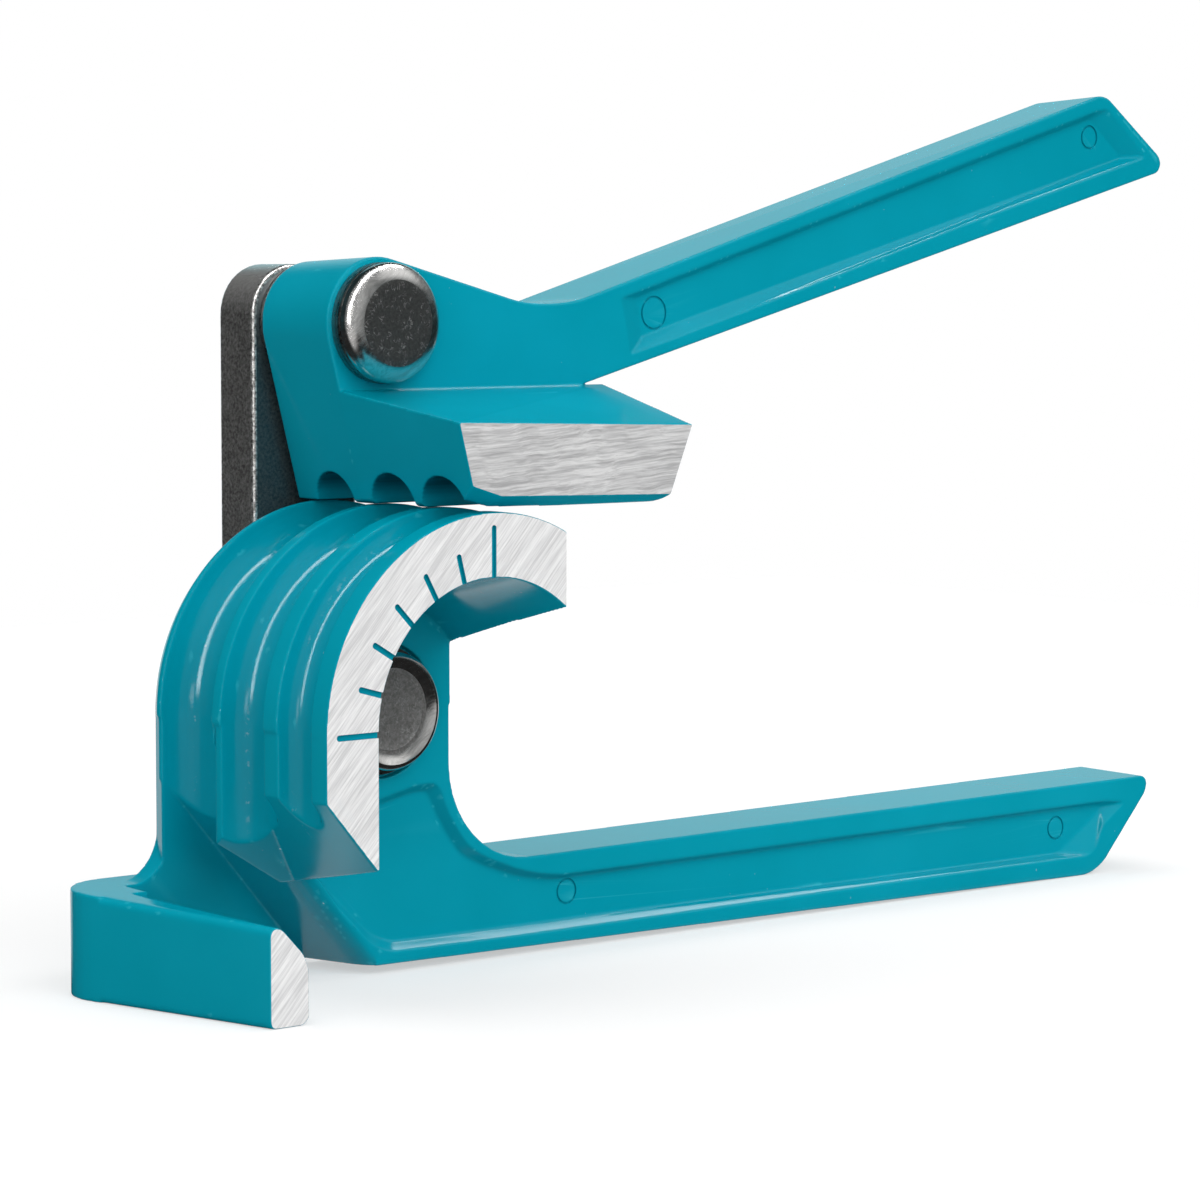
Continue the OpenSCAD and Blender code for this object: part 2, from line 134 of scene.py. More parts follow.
# Hook, and the foot that carries it
HOOK_SPLAY = math.tan(math.radians(9))
HOOK_OUTER_X = -33.12
HOOK_INNER_X = -27.6
HOOK_THROAT_X = -30.34
HOOK_TURN_Y = 28.0
HOOK_START_Z = -15
HOOK_TOP_Z = -20.9
HOOK_TOP_SLANT = (0, -math.tan(math.radians(2)), 1)
HOOK_SLOPE_X = -31.62
HOOK_SLOPE = math.radians(46)
HOOK_MIDDLE_Y = 14
HOOK_ROUNDS = (
    (-31.6, -20.5, 0.7), (-28.8, -24.6, 1.7), (-28.8, GROUND_Z, 1.3),
    (HOOK_OUTER_X - 2, -20.5, 0.9), (HOOK_OUTER_X - 2, GROUND_Z, 0.7),
)
FOOT = [
    (HOOK_OUTER_X - 27.5 * HOOK_SPLAY, 27.5), (-39.12, FOOT_Y, 9.3), (-17.1, FOOT_Y, 1.5),
    (-14, BACK_Y), (-14, PLATE_Y), (-30.4, PLATE_Y), (-30.4, 27.5),
]

# Degree marks on the ground face, every 15 degrees
MARK_STEP = 15
MARK_COUNT = 7
MARK_INNER_R = 16.2
MARK_LONG_R = 23.5
MARK_SHORT_R = 21.0
MARK_HALF = 0.36
MARK_ROUND = 0.34
MARK_DEPTH = 0.45


def flank_x(z):
    """Left flank of the lever, from the boss down to the shoe."""
    return FLANK_TOP[0] + (FLANK_TOP[1] - z) * math.tan(math.radians(15))


# Lever's boss, neck and handle, and the panel sunk into the handle
FLANK_TOP = (-7.727, 44.93)
FLANK_FOOT_Z = 36
FLANK = ((flank_x(FLANK_FOOT_Z), WEB_Y, FLANK_FOOT_Z),
         Vector((-0.966, 0.04, -0.259)).normalized())
ARM = [
    FLANK_TOP, (flank_x(FLANK_FOOT_Z), FLANK_FOOT_Z), (31.2, FLANK_FOOT_Z), (31.2, 38.59, 0.9),
    (142.46, 67.36, 1.2), (142.46, 69.34, 1.0), (130.4, 78.10, 1.6), (27.4, 48.18, 6.6),
    (2.003, 54.745), (0, PIVOT_Z),
]
ARM_MIDDLE_Z = 47.5
ARM_RISE = 0.27
ARM_TOP_FALL = 0.55
ARM_MOUTH = [(39.1, 49.75, 0.3), (52.8, 53.7), (129.4, 75.8), (131.2, 76.0, 0.5),
             (139.3, 69.4, 0.6), (52.8, 45.8), (40.7, 42.6, 0.3)]
ARM_FLOOR = [(43.0, 49.9, 0.3), (52.8, 52.8), (127.6, 74.3), (128.5, 74.5, 0.5),
             (135.2, 69.2, 0.6), (52.8, 47.4), (43.8, 44.9, 0.3)]
BOSS_R = 8.0
BOSS_BACK_R = 7.45

# Bending shoe, with its grooves as depth and radius
SHOE_GROOVES = ((6.1, 4.1), (15.7, 4.1), (27.3, 3.85))
SHOE_FLOOR_Z = 25.26
SHOE_FACE = [(flank_x(41), 41), (flank_x(SHOE_FLOOR_Z), SHOE_FLOOR_Z, 0.6),
             (45, SHOE_FLOOR_Z), (45, 41)]
SHOE_TOP_Z = 34.8
SHOE_TOP_SLOPE = math.radians(10.8)
SHOE_BACK_TOP_Z = 38.5
SHOE_END = ((31.8, 0, SHOE_TOP_Z), (0.9136, -0.1219, -0.3878))
SHOE_END_EDGE = (28.5, 15, 25.4)
SHOE_END_R = 2.2
LIP = ((20, 0, 26.35), Vector((-0.035, -0.95, -1.4)).normalized())
LIP_CORNER = ((1.18, 0, 26.82), Vector((-0.385, -0.95, -1.285)).normalized())
FACE_LEFT_LIFT = Vector((-0.236, 0, 0.88))
FACE_RIGHT_LIFT = Vector((-0.093, 0, -0.22))

# Rings that ejector pins leave in the panels' floors, as place and radius
LOWER_RINGS = ((31.0, -25.4, 1.7), (122.8, -25.4, 1.7))
ARM_RINGS = ((45.9, 47.9, 2.2), (128.6, 72.0, 1.7))
RING_WIDTH = 0.3
RING_DEPTH = 0.22


# Shaping

def outline(corners, axis, at):
    """Flat outline across an axis."""
    places = {
        "X": lambda u, v: (at, u, v),
        "Y": lambda u, v: (u, at, v),
        "Z": lambda u, v: (u, v, at),
    }
    bm = bmesh.new()
    verts = [bm.verts.new(places[axis](corner[0], corner[1])) for corner in corners]
    bm.faces.new(verts)
    for vert, corner in zip(verts, corners):
        if len(corner) > 2:
            bmesh.ops.bevel(
                bm, geom=[vert], offset=corner[2], offset_type="OFFSET", segments=10,
                profile=0.5, material=-1, affect="VERTICES",
            )
    return bm


def slab(corners, axis, start, end):
    """Solid of an outline, from start to end along the axis."""
    bm = outline(corners, axis, start)
    made = bmesh.ops.extrude_face_region(bm, geom=bm.faces[:])
    far = [item for item in made["geom"] if isinstance(item, bmesh.types.BMVert)]
    along = Vector([end - start if letter == axis else 0.0 for letter in "XYZ"])
    bmesh.ops.translate(bm, verts=far, vec=along)
    bmesh.ops.recalc_face_normals(bm, faces=bm.faces[:])
    return bm


def half_turned(section):
    """Solid of a section of (radius, depth), turned half round the axis from the left."""
    bm = outline([(-radius, depth) for radius, depth in section], "Z", 0.0)
    half_spun(bm)
    bmesh.ops.remove_doubles(bm, verts=bm.verts[:], dist=1e-4)
    bmesh.ops.recalc_face_normals(bm, faces=bm.faces[:])
    return bm


def half_spun(bm):
    """Carries a flat face half round the former's axis."""
    bmesh.ops.spin(
        bm, geom=bm.verts[:] + bm.edges[:] + bm.faces[:], cent=(0, 0, 0), axis=(0, 1, 0),
        angle=math.pi, steps=96,
    )


def rod(radius, start, end, back_radius=None):
    """Round bar on the former's axis, from start to end in depth."""
    bm = bmesh.new()
    bmesh.ops.create_cone(
        bm, cap_ends=True, segments=64, radius1=radius,
        radius2=radius if back_radius is None else back_radius, depth=end - start,
    )
    bmesh.ops.rotate(bm, verts=bm.verts[:], matrix=Matrix.Rotation(math.radians(-90), 3, "X"))
    return moved(bm, y=(start + end) / 2)


def bent_groove(y, radius):
    """Cutter of a tube groove over the former's half ring."""
    bm = bmesh.new()
    bmesh.ops.create_circle(bm, cap_ends=True, segments=40, radius=radius)
    moved(bm, -RIDGE_R, y)
    half_spun(bm)
    bmesh.ops.recalc_face_normals(bm, faces=bm.faces[:])
    return bm


def straight_groove(radius, length):
    """Cutter of a straight tube groove, standing on the origin along Z."""
    bm = bmesh.new()
    bmesh.ops.create_cone(
        bm, cap_ends=True, segments=40, radius1=radius, radius2=radius, depth=length)
    return moved(bm, z=length / 2)


def funnel(mouth, floor, y_mouth, y_floor):
    """Cutter for a sunk panel with sloping walls, from its mouth to its floor."""
    bm = outline(mouth, "Y", y_mouth)
    lower = outline(floor, "Y", y_floor)
    mesh = bpy.data.meshes.new("floor")
    lower.to_mesh(mesh)
    lower.free()
    bm.from_mesh(mesh)
    bpy.data.meshes.remove(mesh)
    bmesh.ops.bridge_loops(bm, edges=bm.edges[:])
    bmesh.ops.recalc_face_normals(bm, faces=bm.faces[:])
    return bm


def moved(bm, x=0.0, y=0.0, z=0.0):
    """Shape carried to another place."""
    bmesh.ops.translate(bm, verts=bm.verts[:], vec=(x, y, z))
    return bm


def swung(bm, degrees):
    """Turned round the former's axis, clockwise from the front."""
    bmesh.ops.rotate(
        bm, verts=bm.verts[:], cent=(0, 0, 0),
        matrix=Matrix.Rotation(math.radians(degrees), 3, "Y"))
    return bm


def trim(bm, point, normal):
    """Cuts away what lies beyond a plane and closes the cut."""
    cut = bmesh.ops.bisect_plane(
        bm, geom=bm.verts[:] + bm.edges[:] + bm.faces[:], dist=1e-5, plane_co=point,
        plane_no=normal, clear_outer=True,
    )
    rim = [item for item in cut["geom_cut"] if isinstance(item, bmesh.types.BMEdge)]
    bmesh.ops.edgeloop_fill(bm, edges=rim)
    bmesh.ops.recalc_face_normals(bm, faces=bm.faces[:])
    return bm


def round_edge(bm, near, reach, segments=5):
    """Rounds the straight edge that passes nearest to a point."""
    point = Vector(near)

    def distance(edge):
        a, b = (vert.co for vert in edge.verts)
        share = (point - a).dot(b - a) / max((b - a).length_squared, 1e-9)
        return (a + (b - a) * min(max(share, 0.0), 1.0) - point).length

    bmesh.ops.bevel(
        bm, geom=[min(bm.edges, key=distance)], offset=reach, offset_type="OFFSET",
        segments=segments, profile=0.5, material=-1, affect="EDGES",
    )
    return bm


def blank(bm, name="blank"):
    """Object of a mesh that is still in millimetres."""
    mesh = bpy.data.meshes.new(name)
    bm.to_mesh(mesh)
    bm.free()
    obj = bpy.data.objects.new(name, mesh)
    scene.collection.objects.link(obj)
    return obj


def settle(obj):
    """Applies an object's modifiers."""
    depsgraph = bpy.context.evaluated_depsgraph_get()
    mesh = bpy.data.meshes.new_from_object(obj.evaluated_get(depsgraph))
    old = obj.data
    obj.modifiers.clear()
    obj.data = mesh
    bpy.data.meshes.remove(old)


def joined(base, others, operation):
    """One solid from a base with others added to it or cut out of it, one after another."""
    for bm in others:
        other = blank(bm)
        step = base.modifiers.new("step", "BOOLEAN")
        step.operation = operation
        step.solver = "EXACT"
        step.object = other
        settle(base)
        bpy.data.objects.remove(other)
    return base


def cast(obj, keep):
    """Gives a rough solid the soft edges and corners of a die casting."""
    skin = obj.modifiers.new("skin", "REMESH")
    skin.mode = "SHARP"
    skin.octree_depth = SKIN_DEPTH
    skin.scale = SKIN_SCALE
    skin.sharpness = 1.0
    skin.use_remove_disconnected = False
    soften = obj.modifiers.new("soften", "SMOOTH")
    soften.factor = 0.5
    soften.iterations = SOFTENING
    thin = obj.modifiers.new("thin", "DECIMATE")
    thin.ratio = keep
    settle(obj)


def grind(obj):
    """Grinds the casting's stock off flush at the front."""
    bm = bmesh.new()
    bm.from_mesh(obj.data)
    trim(bm, (0, 0, 0), (0, -1, 0))
    bm.to_mesh(obj.data)
    bm.free()


def finish_piece(obj, name, body, node, materials, sharp=32.0):
    """Names a piece, puts it into the frame, gives it its body and materials, and hides the part
    that it replaces.
    """
    obj.name = obj.data.name = name
    obj.data.transform(TO_FRAME)
    slots = [polygon.material_index for polygon in obj.data.polygons]
    obj.data.materials.clear()
    for entry in materials:
        obj.data.materials.append(entry)
    obj.data.polygons.foreach_set("material_index", slots)
    for polygon in obj.data.polygons:
        polygon.use_smooth = True
    obj.data.set_sharp_from_angle(angle=math.radians(sharp))
    even = obj.modifiers.new("even", "WEIGHTED_NORMAL")
    even.keep_sharp = True
    settle(obj)
    obj.data.name = name
    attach(obj, body)
    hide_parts(node)
    return obj


def paint_ground(obj):
    """Gives the ground faces their bare metal, the second material of a casting."""
    for polygon in obj.data.polygons:
        ground = polygon.normal.y < -0.999 and abs(polygon.center.y) < 0.01
        polygon.material_index = 1 if ground else 0


# Former casting

def drafted(direction, draft):
    """Normal of a wall that looks along a direction and leans out towards the back."""
    return (Vector(direction) - Vector((0, math.tan(math.radians(draft)), 0))).normalized()


def arch_solid():
    """The half ring that the tube bends round, hollowed to a cone down to the web."""
    arch = half_turned([
        (0, BACK_Y), (0, WEB_Y), (HOLLOW_BACK_R, WEB_Y), (HOLLOW_R, STOCK_Y), (RIDGE_R, STOCK_Y),
        (CROWN_R, CROWN_Y), (CROWN_R, CROWN_BACK_Y), (BACK_R, BACK_Y)])
    return trim(arch, (ARCH_END_X, 0, 0), drafted((1, 0, 0), -ARCH_END_DRAFT))


def leg_solids():
    """The leg below the arch, cut to its facet, and the gusset that it stands on."""
    section = [(-HOLLOW_R, STOCK_Y), (-HOLLOW_BACK_R, WEB_Y), (-HOLLOW_BACK_R, LEG_BACK_Y),
               (-RIDGE_R, LEG_BACK_Y), (-RIDGE_R, STOCK_Y)]
    leg = slab(section, "Z", LAP_Z, ROOT_Z)
    gusset = slab(section, "Z", LAP_Z, ROOT_Z)
    trim(leg, FACET * LEG_FACET_R, FACET)
    trim(gusset, GUSSET_POINT, GUSSET_SLANT)
    for solid in (leg, gusset):
        trim(solid, (0, 0, LEG_END_Z), drafted((0, 0, -1), LEG_DRAFT))
        trim(solid, (0, WEB_Y, 0), (0, 1, 0))
    return [leg, gusset]


def web_solids():
    """The web's wall with its slanting left side, the back plate and its corner fillet."""
    wall = slab([(0, WEB_Y), (0, WALL_BACK_Y), (-RIDGE_R, WALL_BACK_Y), (-RIDGE_R, WEB_Y)],
                "Z", LAP_Z, ROOT_Z)
    trim(wall, WALL_POINT, drafted(FACET, WALL_DRAFT))
    round_edge(wall, WALL_CORNER, WALL_CORNER_R, 8)
    plate = slab([(0, PLATE_Y), (0, BACK_Y), (-BACK_R, BACK_Y), (-RIDGE_R, PLATE_Y)],
                 "Z", LAP_Z, ROOT_Z)
    return [wall, plate, slab(FILLET, "Y", PLATE_Y, BACK_Y)]


def lean_end(bm):
    """Leans a handle's end out towards the back."""
    back = [vert for vert in bm.verts if vert.co.x > HANDLE_END_X and vert.co.y > WEB_Y + 1]
    bmesh.ops.translate(bm, verts=back, vec=(HANDLE_LEAN, 0, 0))
    return bm


def hook_solids():
    """The hook's bar, which leans out to the left, and the rounded foot that carries it."""
    hook = slab([(HOOK_OUTER_X - STOCK_Y * HOOK_SPLAY, STOCK_Y),
                 (HOOK_OUTER_X - HOOK_TURN_Y * HOOK_SPLAY, HOOK_TURN_Y),
                 (HOOK_THROAT_X, HOOK_TURN_Y), (HOOK_INNER_X, STOCK_Y)],
                "Z", GROUND_Z, HOOK_START_Z)
    trim(hook, (0, 0, HOOK_TOP_Z), HOOK_TOP_SLANT)
    trim(hook, (HOOK_SLOPE_X, 0, HOOK_TOP_Z), (math.sin(HOOK_SLOPE), 0, math.cos(HOOK_SLOPE)))
    for x, z, reach in HOOK_ROUNDS:
        round_edge(hook, (x, HOOK_MIDDLE_Y, z), reach)
    foot = slab(FOOT, "Z", GROUND_Z, HOOK_START_Z)
    return [hook, trim(foot, (0, 0, HOOK_TOP_Z), HOOK_TOP_SLANT)]


def sunk_panel(mouth, floor):
    """Cutter of a panel, its sloping walls carried on in front of the face it is sunk into."""
    spread = [(m[0] * 2 - f[0], m[1] * 2 - f[1]) + tuple(m[2:]) for m, f in zip(mouth, floor)]
    return funnel(spread, floor, WEB_Y - PANEL_DEPTH, WEB_Y + PANEL_DEPTH)


def ejector_ring(x, z, radius):
    """Cutter for the fine ring that an ejector pin leaves in a panel's floor."""
    floor_y = WEB_Y + PANEL_DEPTH
    inner = radius - RING_WIDTH
    section = [(inner, floor_y - 1), (radius, floor_y - 1), (radius, floor_y + RING_DEPTH),
               (inner, floor_y + RING_DEPTH), (inner, floor_y - 1)]
    return moved(revolved(section, z, 48), x=x)


def degree_mark(step):
    """Cutter for one mark, a long one at both ends of the scale."""
    reach = MARK_LONG_R if step in (0, MARK_COUNT - 1) else MARK_SHORT_R
    mark = slab([(-reach, -MARK_HALF, MARK_ROUND), (-MARK_INNER_R, -MARK_HALF),
                 (-MARK_INNER_R, MARK_HALF), (-reach, MARK_HALF, MARK_ROUND)],
                "Y", -1.0, MARK_DEPTH)
    return swung(mark, MARK_STEP * step)


def former_casting(materials):
    """The lower casting: the former, its web, the hook and the lower handle in one piece."""
    bar = lean_end(slab(LOWER_BAR, "Y", WEB_Y, BACK_Y))
    body = joined(blank(arch_solid()), leg_solids() + web_solids() + [bar] + hook_solids(),
                  "UNION")
    bends = [bent_groove(y, radius) for y, radius in GROOVES]
    runs = [moved(straight_groove(radius, GROOVE_RUN), -RIDGE_R, y, -GROOVE_RUN + LAP_RUN)
            for y, radius in GROOVES]
    seat = rod(HEAD_SEAT_R, WEB_Y - 4, WEB_Y + 1)
    bore = rod(BORE_R, WEB_Y - 1, BACK_Y + 1)
    joined(body, bends + runs + [seat, sunk_panel(LOWER_MOUTH, LOWER_FLOOR), bore],
           "DIFFERENCE")
    cast(body, FORMER_KEPT)
    grind(body)
    marks = [degree_mark(step) for step in range(MARK_COUNT)]
    rings = [ejector_ring(*ring) for ring in LOWER_RINGS]
    end = slab(ARCH_END_CUT, "Z", 1.0, RIDGE_R + 3)
    joined(body, marks + rings + [end], "DIFFERENCE")
    paint_ground(body)
    return finish_piece(body, "former_casting", "former", "former_body", materials)


# Lever casting

def arm_solid():
    """The boss, the neck and the long upper handle, whose top falls towards the back."""
    arm = lean_end(slab(ARM, "Y", WEB_Y, BACK_Y))
    for vert in arm.verts:
        if vert.co.y > WEB_Y + 1 and vert.co.z > ARM_MIDDLE_Z + (vert.co.x - 31) * ARM_RISE:
            vert.co.z -= ARM_TOP_FALL
    return trim(arm, *FLANK)


def shoe_solids():
    """The bending shoe in front of the arm, and the part of it that lies below the arm."""
    shoe = slab(SHOE_FACE, "Y", STOCK_Y, WEB_Y + 0.5)
    trim(shoe, *LIP)
    trim(shoe, *LIP_CORNER)
    trim(shoe, (0, 0, SHOE_TOP_Z), (0, -math.sin(SHOE_TOP_SLOPE), math.cos(SHOE_TOP_SLOPE)))
    back = slab(SHOE_FACE, "Y", WEB_Y, BACK_Y)
    trim(back, (0, 0, SHOE_BACK_TOP_Z), (0, 0, 1))
    trim(back, *FLANK)
    for solid in (shoe, back):
        trim(solid, *SHOE_END)
        round_edge(solid, SHOE_END_EDGE, SHOE_END_R)
    for vert in shoe.verts:
        if vert.co.y < 1 and vert.co.z > 30:
            vert.co += FACE_LEFT_LIFT if vert.co.x < 10 else FACE_RIGHT_LIFT
    return [shoe, back]


def shoe_groove(y, radius):
    """Cutter of a straight tube groove along the shoe."""
    groove = straight_groove(radius, 120)
    bmesh.ops.rotate(groove, verts=groove.verts[:],
                     matrix=Matrix.Rotation(math.radians(90), 3, "Y"))
    return moved(groove, -40, y, RIDGE_R)


def lever_casting(materials):
    """The upper casting: the handle, the boss and the bending shoe in one piece."""
    boss = moved(rod(BOSS_R, WEB_Y, BACK_Y, BOSS_BACK_R), z=PIVOT_Z)
    body = joined(blank(arm_solid()), [boss] + shoe_solids(), "UNION")
    grooves = [shoe_groove(y, radius) for y, radius in SHOE_GROOVES]
    bore = moved(rod(BORE_R, WEB_Y - 3, BACK_Y + 1), z=PIVOT_Z)
    joined(body, grooves + [bore, sunk_panel(ARM_MOUTH, ARM_FLOOR)], "DIFFERENCE")
    cast(body, LEVER_KEPT)
    grind(body)
    joined(body, [ejector_ring(*ring) for ring in ARM_RINGS], "DIFFERENCE")
    paint_ground(body)
    return finish_piece(body, "lever_casting", "lever", "lever_handle", materials)


# Link bar, pins and washers

LINK_HALF = 8
LINK_END = 7.1
LINK_CORNER_R = 6.2
LINK_RIM = 0.55
LINK_BORE_R = 4.1
TURNED_SHARP = 40


def link_piece(materials):
    """The bar, its rims worn round, with a bore for each pin."""
    low, high = -LINK_END, PIVOT_Z + LINK_END
    corners = ((-LINK_HALF, low), (LINK_HALF, low), (LINK_HALF, high), (-LINK_HALF, high))
    bm = slab([corner + (LINK_CORNER_R,) for corner in corners], "Y", LINK_Y, LINK_BACK_Y)
    rims = [edge for edge in bm.edges
            if abs(edge.verts[0].co.y - edge.verts[1].co.y) < 1e-4]
    bmesh.ops.bevel(bm, geom=rims, offset=LINK_RIM, offset_type="OFFSET", segments=3,
                    profile=0.5, material=1, affect="EDGES")
    bores = [moved(rod(LINK_BORE_R, LINK_Y - 1, LINK_BACK_Y + 1), z=z) for z in (0.0, PIVOT_Z)]
    link = joined(blank(bm), bores, "DIFFERENCE")
    return finish_piece(link, "link", "link", "link_bar", materials, TURNED_SHARP)


def revolved(section, rise, steps=96):
    """Turned piece from an open profile of (radius, depth) that ends on the axis."""
    bm = bmesh.new()
    verts = [bm.verts.new((radius, depth, 0)) for radius, depth in section]
    edges = [bm.edges.new(pair) for pair in zip(verts, verts[1:])]
    bmesh.ops.spin(bm, geom=verts + edges, cent=(0, 0, 0), axis=(0, 1, 0),
                   angle=2 * math.pi, steps=steps, use_merge=True)
    bmesh.ops.remove_doubles(bm, verts=bm.verts[:], dist=1e-4)
    bmesh.ops.recalc_face_normals(bm, faces=bm.faces[:])
    return moved(bm, z=rise)


def bulge(flat_r, edge_r, front, back, steps=16):
    """Rounded edge of a pin's head, as (radius, depth), from its flat to its side."""
    reach = edge_r - flat_r
    depth = back - front
    return [(flat_r + reach * math.sin(math.radians(90 * i / steps)),
             back - depth * math.cos(math.radians(90 * i / steps)))
            for i in range(steps + 1)]


PIN_R = 4.0
HEAD_R = 7.1
TAIL = [(PIN_R, 43.0), (PIN_R, 44.25), (5.4, 44.25), (5.4, 45.2), (4.2, 46.15), (0, 46.25)]

LEVER_HEAD_Y = (17.7, 19.95)
LEVER_FLAT_R = 4.4
LEVER_HEAD_R = 7.3
LEVER_BULGE_BACK_Y = 19.3

FORMER_HEAD_Y = (18.75, 21.45)
FORMER_HEAD_R = 7.24
DISH_R = 6.5
DISH = ((0, 0.72), (3.2, 0.70), (4.6, 0.66), (4.75, 0.58), (4.9, 0.62), (5.3, 0.54),
        (5.7, 0.43), (6.05, 0.28), (6.35, 0.12), (DISH_R, 0.02))
DISH_DEPTH = 0.75
DULL_R = 5.2


def lever_pin_piece(materials):
    """Upper pin: a bulging head with a flat, dull middle."""
    front, back = LEVER_HEAD_Y
    head = [(0, front + 0.06), (PIN_R, front + 0.02)]
    head += bulge(LEVER_FLAT_R, LEVER_HEAD_R, front, LEVER_BULGE_BACK_Y)
    head += [(LEVER_HEAD_R - 0.02, back - 0.15), (HEAD_R, back), (PIN_R, back)]
    pin = blank(revolved(head + TAIL, PIVOT_Z))
    for polygon in pin.data.polygons:
        if polygon.center.y < front + 0.07:
            polygon.material_index = 1
    return finish_piece(pin, "lever_pin_turned", "link", "lever_pin", materials,
                        TURNED_SHARP)


def former_pin_piece(materials):
    """Lower pin: a wide head with a bright rim round a shallow dull dish."""
    front, back = FORMER_HEAD_Y
    head = [(radius, front + depth) for radius, depth in DISH]
    head += bulge(DISH_R, FORMER_HEAD_R, front, front + DISH_DEPTH, 10)
    head += [(FORMER_HEAD_R, back - 0.15), (HEAD_R, back), (PIN_R, back)]
    pin = blank(revolved(head + TAIL, 0.0))
    for polygon in pin.data.polygons:
        place = polygon.center
        if place.y < front + DISH_DEPTH and math.hypot(place.x, place.z) < DULL_R:
            polygon.material_index = 1
    return finish_piece(pin, "former_pin_turned", "link", "former_pin", materials,
                        TURNED_SHARP)


WASHER_BORE_R = 4.1
WASHER_TURN = 0.14
HEAD_WASHER_R = 7.3
HEAD_WASHER_Y = (19.98, 20.68)
THRUST_WASHER_R = 7.1
THRUST_WASHER_Y = (BACK_Y + 0.06, LINK_Y - 0.02)


def washer_piece(node_name, radius, sides, rise, materials):
    """Flat washer with its edges tumbled round."""
    start, end = sides
    turn = WASHER_TURN
    section = [(WASHER_BORE_R, start), (radius - turn, start),
               (radius - 0.3 * turn, start + 0.3 * turn), (radius, start + turn),
               (radius, end - turn), (radius - 0.3 * turn, end - 0.3 * turn),
               (radius - turn, end), (WASHER_BORE_R, end), (WASHER_BORE_R, start)]
    washer = blank(revolved(section, rise))
    return finish_piece(washer, node_name + "_tumbled", "link", node_name,
                        materials, TURNED_SHARP)


# Finishes

TEAL = (0.0, 0.32, 0.43)
TEAL_DEEP = (0.0, 0.305, 0.405)
TEAL_LIGHT = (0.0004, 0.335, 0.45)
# Lighter teal on convex edges: thinner paint, and a painted highlight line along them
THIN_PAINT_AND_HIGHLIGHT = (0.06, 0.60, 0.70)
# Painted shade in concave hollows
PAINTED_HOLLOW_SHADE = (0.0, 0.15, 0.21)
# Painted shade on the roofs of the shoe's grooves
PAINTED_GROOVE_SHADE = (0.0, 0.035, 0.055)
CHIPPED = (0.60, 0.72, 0.75)
RUB_DEPTHS = (8.56, 18.96, 30.56)
RUBBED_FROM_X = -24.4
RUBBED_FROM_Z = -17
# Where the painted shade in the shoe's grooves begins
GROOVE_SHADE_FROM_Y = 1.6
GROOVE_SHADE_BELOW_Z = 29.8
FORMER_GROUND = ((0.64, 0.64, 0.645), (0.93, 0.93, 0.93))
SHOE_GROUND = ((0.40, 0.40, 0.405), (0.72, 0.72, 0.72))
LINK_PLAIN = (0.06, 0.057, 0.055)
LINK_DARK = (0.07, 0.068, 0.065)
LINK_GREY = (0.26, 0.255, 0.25)
LINK_SPECKS = (0.55, 0.54, 0.53)
# Painted teal reflection on the link's front face
LINK_TEAL_REFLECTION = (0.01, 0.055, 0.07)
# Top end of the link rubbed lighter, and partly a painted highlight
LINK_TOP_WORN_AND_SHEEN = (0.5, 0.49, 0.48)
WORN_PLAIN = (0.7, 0.69, 0.67)
WORN = ((0.16, 0.155, 0.15), (0.8, 0.79, 0.77))
BRIGHT = (0.84, 0.82, 0.80)
DULL = ((0.042, 0.042, 0.041), (0.5, 0.49, 0.48))
GREY = ((0.17, 0.165, 0.16), (0.6, 0.59, 0.58))
WASHER = (0.36, 0.35, 0.34)
WHITE = (1, 1, 1, 1)


def new_group(name, inputs, outputs):
    """Empty shader group with named sockets, and its input and output nodes."""
    tree = bpy.data.node_groups.new(name, "ShaderNodeTree")
    for label, kind, value in inputs:
        socket = tree.interface.new_socket(label, in_out="INPUT", socket_type=kind)
        if value is not None:
            socket.default_value = value
    for label, kind in outputs:
        tree.interface.new_socket(label, in_out="OUTPUT", socket_type=kind)
    return tree, tree.nodes.new("NodeGroupInput"), tree.nodes.new("NodeGroupOutput")


def node(tree, kind, settings=None, values=None, links=None):
    """Adds a node with its settings, socket values and incoming links."""
    made = tree.nodes.new(kind)
    for key, value in (settings or {}).items():
        setattr(made, key, value)
    for key, value in (values or {}).items():
        made.inputs[key].default_value = value
    for key, source in (links or {}).items():
        tree.links.new(source, made.inputs[key])
    return made


def feed(tree, socket, value):
    """Gives a socket a plain value, or a link to the socket that the value comes from."""
    if isinstance(value, bpy.types.NodeSocket):
        tree.links.new(value, socket)
    else:
        socket.default_value = value


def math_node(tree, operation, first, second, clamp=False):
    """Math node of two values or sockets."""
    made = node(tree, "ShaderNodeMath", {"operation": operation, "use_clamp": clamp})
    feed(tree, made.inputs[0], first)
    feed(tree, made.inputs[1], second)
    return made.outputs[0]


def noise(tree, vector, scale, detail, roughness=0.5, distortion=0.0):
    """Cloudy pattern, with the scale as a value or a socket."""
    made = node(tree, "ShaderNodeTexNoise", None,
                {"Detail": detail, "Roughness": roughness, "Distortion": distortion},
                {"Vector": vector})
    feed(tree, made.inputs["Scale"], scale)
    return made.outputs["Fac"]


def split(tree, vector):
    """A vector's X, Y and Z."""
    return node(tree, "ShaderNodeSeparateXYZ", None, None, {0: vector}).outputs


def ranged(tree, value, low, high, to_low=0.0, to_high=1.0):
    """Value carried from one range to another, and held inside it."""
    made = node(tree, "ShaderNodeMapRange", None,
                {"From Min": low, "From Max": high, "To Min": to_low, "To Max": to_high},
                {"Value": value})
    return made.outputs["Result"]


def blended(tree, mask, first, second):
    """Colour between two, each a colour or a socket."""
    made = tree.nodes.new("ShaderNodeMix")
    made.data_type = "RGBA"
    tree.links.new(mask, made.inputs["Factor"])
    for index, value in ((6, first), (7, second)):
        feed(tree, made.inputs[index], (*value, 1) if isinstance(value, tuple) else value)
    return made.outputs[2]


